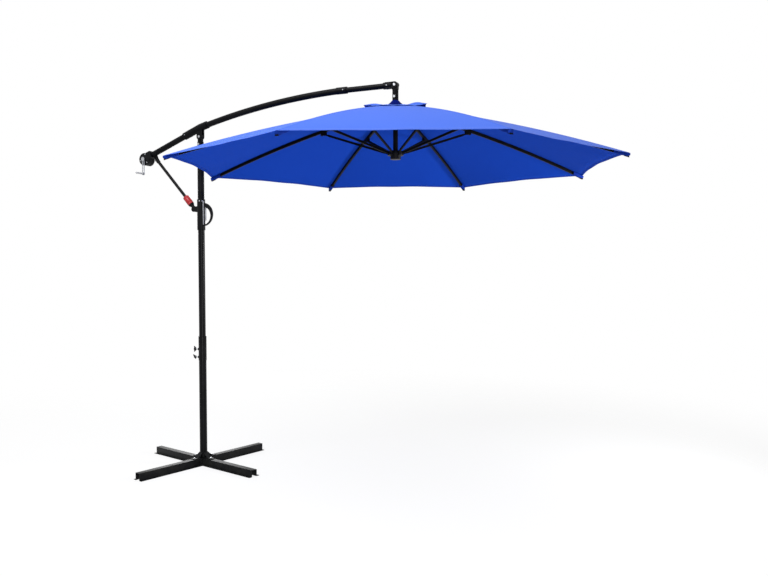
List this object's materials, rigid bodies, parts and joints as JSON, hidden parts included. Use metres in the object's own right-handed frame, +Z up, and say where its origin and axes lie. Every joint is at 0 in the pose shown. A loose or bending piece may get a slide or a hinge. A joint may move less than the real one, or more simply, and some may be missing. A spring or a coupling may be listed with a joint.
{
  "type": "cantilever patio umbrella with cross base",
  "caption": "Offset patio umbrella: cross base, swivelling mast, tilting arm with crank, sliding grip and strut, and a folding octagonal cloth canopy hung from the arm's end.",
  "frame": {"origin": "where the mast's axis meets the floor", "axes": "+X along the arm towards the canopy, +Z up, +Y to the left seen from the mast"},
  "size_m": [3.5437, 2.9, 2.651],
  "materials": {
    "powder_black_steel": "matt black powder coat on steel",
    "powder_black_aluminium": "matt black powder coat on aluminium",
    "bolt_steel": "zinc plated",
    "black_plastic": "moulded, fine grain",
    "crank_steel": "bright plated",
    "red_plastic": "satin red",
    "grey_plastic": "light grey",
    "canopy_cloth": "woven polyester"
  },
  "bodies": {
    "base": {"base_bar_lower": "powder_black_steel", "base_bar_upper": "powder_black_steel", "mast_foot": "powder_black_steel", "base_bolts": "bolt_steel", "lower_mast": "powder_black_steel", "mast_bush": "black_plastic"},
    "screw_low": {"thumb_screw_low": "black_plastic"},
    "screw_high": {"thumb_screw_high": "black_plastic"},
    "mast": {"upper_mast": "powder_black_steel", "mast_head": "powder_black_aluminium", "mast_head_bolts": "bolt_steel"},
    "arm": {"arm_rear_tube": "powder_black_aluminium", "arm_main_tube": "powder_black_aluminium", "arm_saddle": "powder_black_aluminium", "arm_coupler": "powder_black_aluminium", "arm_front_tube": "powder_black_aluminium", "arm_head": "powder_black_aluminium", "arm_rivets": "bolt_steel", "crank_housing_front": "black_plastic", "crank_housing_back": "black_plastic"},
    "crank": {"crank_spool": "crank_steel", "crank_handle": "crank_steel"},
    "crank_knob": {"crank_grip": "grey_plastic"},
    "strut": {"strut_tube": "powder_black_aluminium", "strut_sleeve": "red_plastic", "strut_ends": "black_plastic"},
    "slider": {"slider_body": "black_plastic", "slider_grip": "black_plastic"},
    "lever": {"release_lever": "grey_plastic"},
    "canopy_head": {"drop_link": "powder_black_aluminium", "canopy_post": "powder_black_aluminium", "head_pins": "bolt_steel", "top_hub": "black_plastic", "crown_cap": "canopy_cloth"},
    "runner": {"runner": "black_plastic"},
    "rib_1": {"rib_1": "powder_black_aluminium", "gore_1": "canopy_cloth"},
    "stretcher_1": {"stretcher_1": "powder_black_aluminium"},
    "rib_2": {"rib_2": "powder_black_aluminium", "gore_2": "canopy_cloth"},
    "stretcher_2": {"stretcher_2": "powder_black_aluminium"},
    "rib_3": {"rib_3": "powder_black_aluminium", "gore_3": "canopy_cloth"},
    "stretcher_3": {"stretcher_3": "powder_black_aluminium"},
    "rib_4": {"rib_4": "powder_black_aluminium", "gore_4": "canopy_cloth"},
    "stretcher_4": {"stretcher_4": "powder_black_aluminium"},
    "rib_5": {"rib_5": "powder_black_aluminium", "gore_5": "canopy_cloth"},
    "stretcher_5": {"stretcher_5": "powder_black_aluminium"},
    "rib_6": {"rib_6": "powder_black_aluminium", "gore_6": "canopy_cloth"},
    "stretcher_6": {"stretcher_6": "powder_black_aluminium"},
    "rib_7": {"rib_7": "powder_black_aluminium", "gore_7": "canopy_cloth"},
    "stretcher_7": {"stretcher_7": "powder_black_aluminium"},
    "rib_8": {"rib_8": "powder_black_aluminium", "gore_8": "canopy_cloth"},
    "stretcher_8": {"stretcher_8": "powder_black_aluminium"}
  },
  "joints": [
    {"name": "screw_low_turn", "type": "hinge", "parent": "base", "child": "screw_low", "pos_m": [-0.05, 0, 0.791], "axis": [1, 0, 0], "continuous": true},
    {"name": "screw_high_turn", "type": "hinge", "parent": "base", "child": "screw_high", "pos_m": [-0.05, 0, 0.849], "axis": [1, 0, 0], "continuous": true},
    {"name": "mast_swivel", "type": "hinge", "parent": "base", "child": "mast", "pos_m": [0, 0, 0.943], "axis": [0, 0, 1], "continuous": true},
    {"name": "arm_tilt", "type": "hinge", "parent": "mast", "child": "arm", "pos_m": [0, 0, 2.404], "axis": [0, 1, 0], "range_deg": [-18, 5]},
    {"name": "slider_slide", "type": "slide", "parent": "mast", "child": "slider", "axis": [0, 0, 1], "range_m": [-0.16662, 0.04664]},
    {"name": "lever_squeeze", "type": "hinge", "parent": "slider", "child": "lever", "pos_m": [0.048, 0, 1.89], "axis": [0, 1, 0], "range_deg": [-10, 2]},
    {"name": "strut_swing", "type": "hinge", "parent": "arm", "child": "strut", "pos_m": [-0.39947, 0, 2.25775], "axis": [0, 1, 0], "range_deg": [-7.56, 26.7]},
    {"name": "crank_turn", "type": "hinge", "parent": "arm", "child": "crank", "pos_m": [-0.4961, 0, 2.26671], "axis": [0, 1, 0], "range_deg": [-1, 2593.1]},
    {"name": "crank_knob_spin", "type": "hinge", "parent": "crank", "child": "crank_knob", "pos_m": [-0.4961, -0.084, 2.15671], "axis": [0, 1, 0], "continuous": true},
    {"name": "canopy_swing", "type": "hinge", "parent": "arm", "child": "canopy_head", "pos_m": [1.545, 0, 2.628], "axis": [0, 1, 0], "range_deg": [-20, 2]},
    {"name": "runner_slide", "type": "slide", "parent": "canopy_head", "child": "runner", "axis": [0, 0, -1], "range_m": [0, 0.72434]},
    {"name": "rib_1_fold", "type": "hinge", "parent": "canopy_head", "child": "rib_1", "pos_m": [1.511, 0, 2.4748], "axis": [0, -1, 0], "range_deg": [0, 70], "deforming": ["gore_1"]},
    {"name": "stretcher_1_fold", "type": "hinge", "parent": "rib_1", "child": "stretcher_1", "pos_m": [1.0195, 0, 2.34789], "axis": [0, -1, 0], "range_deg": [-137.26, 0.3]},
    {"name": "rib_2_fold", "type": "hinge", "parent": "canopy_head", "child": "rib_2", "pos_m": [1.52096, 0.02404, 2.4748], "axis": [-0.7071, -0.7071, 0], "range_deg": [-0.1, 70.1], "deforming": ["gore_2"]},
    {"name": "stretcher_2_fold", "type": "hinge", "parent": "rib_2", "child": "stretcher_2", "pos_m": [1.17342, 0.37158, 2.34789], "axis": [-0.7071, -0.7071, 0], "range_deg": [-137.26, 0.3]},
    {"name": "rib_3_fold", "type": "hinge", "parent": "canopy_head", "child": "rib_3", "pos_m": [1.545, 0.034, 2.4748], "axis": [-1, 0, 0], "range_deg": [-0.1, 70.1], "deforming": ["gore_3"]},
    {"name": "stretcher_3_fold", "type": "hinge", "parent": "rib_3", "child": "stretcher_3", "pos_m": [1.545, 0.5255, 2.34789], "axis": [-1, 0, 0], "range_deg": [-137.26, 0.3]},
    {"name": "rib_4_fold", "type": "hinge", "parent": "canopy_head", "child": "rib_4", "pos_m": [1.56904, 0.02404, 2.4748], "axis": [-0.7071, 0.7071, 0], "range_deg": [-0.1, 70.1], "deforming": ["gore_4"]},
    {"name": "stretcher_4_fold", "type": "hinge", "parent": "rib_4", "child": "stretcher_4", "pos_m": [1.91658, 0.37158, 2.34789], "axis": [-0.7071, 0.7071, 0], "range_deg": [-137.26, 0.3]},
    {"name": "rib_5_fold", "type": "hinge", "parent": "canopy_head", "child": "rib_5", "pos_m": [1.579, 0, 2.4748], "axis": [0, 1, 0], "range_deg": [-0.1, 70.1], "deforming": ["gore_5"]},
    {"name": "stretcher_5_fold", "type": "hinge", "parent": "rib_5", "child": "stretcher_5", "pos_m": [2.0705, 0, 2.34789], "axis": [0, 1, 0], "range_deg": [-137.26, 0.3]},
    {"name": "rib_6_fold", "type": "hinge", "parent": "canopy_head", "child": "rib_6", "pos_m": [1.56904, -0.02404, 2.4748], "axis": [0.7071, 0.7071, 0], "range_deg": [-0.1, 70.1], "deforming": ["gore_6"]},
    {"name": "stretcher_6_fold", "type": "hinge", "parent": "rib_6", "child": "stretcher_6", "pos_m": [1.91658, -0.37158, 2.34789], "axis": [0.7071, 0.7071, 0], "range_deg": [-137.26, 0.3]},
    {"name": "rib_7_fold", "type": "hinge", "parent": "canopy_head", "child": "rib_7", "pos_m": [1.545, -0.034, 2.4748], "axis": [1, 0, 0], "range_deg": [-0.1, 70.1], "deforming": ["gore_7"]},
    {"name": "stretcher_7_fold", "type": "hinge", "parent": "rib_7", "child": "stretcher_7", "pos_m": [1.545, -0.5255, 2.34789], "axis": [1, 0, 0], "range_deg": [-137.26, 0.3]},
    {"name": "rib_8_fold", "type": "hinge", "parent": "canopy_head", "child": "rib_8", "pos_m": [1.52096, -0.02404, 2.4748], "axis": [0.7071, -0.7071, 0], "range_deg": [-0.1, 70.1], "deforming": ["gore_8"]},
    {"name": "stretcher_8_fold", "type": "hinge", "parent": "rib_8", "child": "stretcher_8", "pos_m": [1.17342, -0.37158, 2.34789], "axis": [0.7071, -0.7071, 0], "range_deg": [-137.26, 0.3]}
  ],
  "couplings": [
    {"joint": "slider_slide", "follows": "arm_tilt", "m_per_rad": 0.52877},
    {"joint": "strut_swing", "follows": "arm_tilt", "ratio": -1.4723},
    {"joint": "runner_slide", "follows": "rib_1_fold", "m_per_rad": 0.59247},
    {"joint": "crank_turn", "follows": "rib_1_fold", "ratio": 37.029},
    {"joint": "stretcher_1_fold", "follows": "rib_1_fold", "ratio": -1.9566},
    {"joint": "rib_2_fold", "follows": "rib_1_fold", "ratio": 1},
    {"joint": "stretcher_2_fold", "follows": "rib_1_fold", "ratio": -1.9566},
    {"joint": "rib_3_fold", "follows": "rib_1_fold", "ratio": 1},
    {"joint": "stretcher_3_fold", "follows": "rib_1_fold", "ratio": -1.9566},
    {"joint": "rib_4_fold", "follows": "rib_1_fold", "ratio": 1},
    {"joint": "stretcher_4_fold", "follows": "rib_1_fold", "ratio": -1.9566},
    {"joint": "rib_5_fold", "follows": "rib_1_fold", "ratio": 1},
    {"joint": "stretcher_5_fold", "follows": "rib_1_fold", "ratio": -1.9566},
    {"joint": "rib_6_fold", "follows": "rib_1_fold", "ratio": 1},
    {"joint": "stretcher_6_fold", "follows": "rib_1_fold", "ratio": -1.9566},
    {"joint": "rib_7_fold", "follows": "rib_1_fold", "ratio": 1},
    {"joint": "stretcher_7_fold", "follows": "rib_1_fold", "ratio": -1.9566},
    {"joint": "rib_8_fold", "follows": "rib_1_fold", "ratio": 1},
    {"joint": "stretcher_8_fold", "follows": "rib_1_fold", "ratio": -1.9566}
  ]
}
